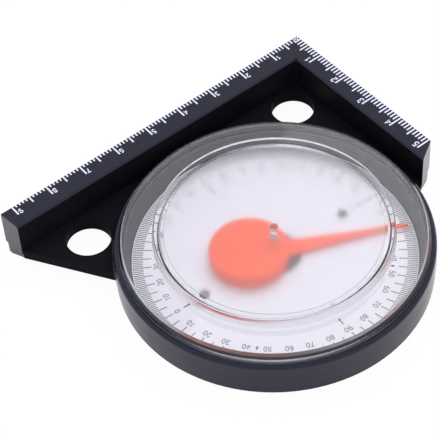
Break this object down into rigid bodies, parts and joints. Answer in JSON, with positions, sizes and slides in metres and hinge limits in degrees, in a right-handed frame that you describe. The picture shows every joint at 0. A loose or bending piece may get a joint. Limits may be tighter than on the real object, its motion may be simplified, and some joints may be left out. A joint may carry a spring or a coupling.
{
  "type": "inclinometer",
  "caption": "Flat L-shaped ruler base with a round cup: gravity pointer over a degree dial under a clear stepped lens, for reading slopes against an edge.",
  "frame": {"origin": "dial axis on the flat back plane of the cup", "axes": "+X along the long ruler arm away from the corner of the L, +Y along the short arm, +Z along the dial axis towards the reader"},
  "size_m": [0.0929, 0.0841, 0.014],
  "materials": {
    "housing_plastic": "moulded black plastic, satin",
    "card": "white printed sheet",
    "stud_plastic": "black plastic",
    "bearing_brass": "turned",
    "pin_steel": "ground",
    "pointer_plastic": "orange-red moulded plastic",
    "lens_clear": "clear moulded plastic",
    "film": "frosted, lets light through",
    "magnet": "sintered dark grey bar"
  },
  "bodies": {
    "case": {"housing": "housing_plastic", "dial_card": "card", "card_studs": "stud_plastic", "lower_bearing": "bearing_brass", "lens": "lens_clear", "lens_film": "film", "long_arm_magnets": "magnet", "short_arm_magnet": "magnet"},
    "needle": {"pointer": "pointer_plastic", "pivot_pin": "pin_steel"}
  },
  "joints": [
    {"name": "pointer_swing", "type": "hinge", "parent": "case", "child": "needle", "pos_m": [0, 0, 0.00325], "axis": [0, 0, 1], "continuous": true}
  ]
}
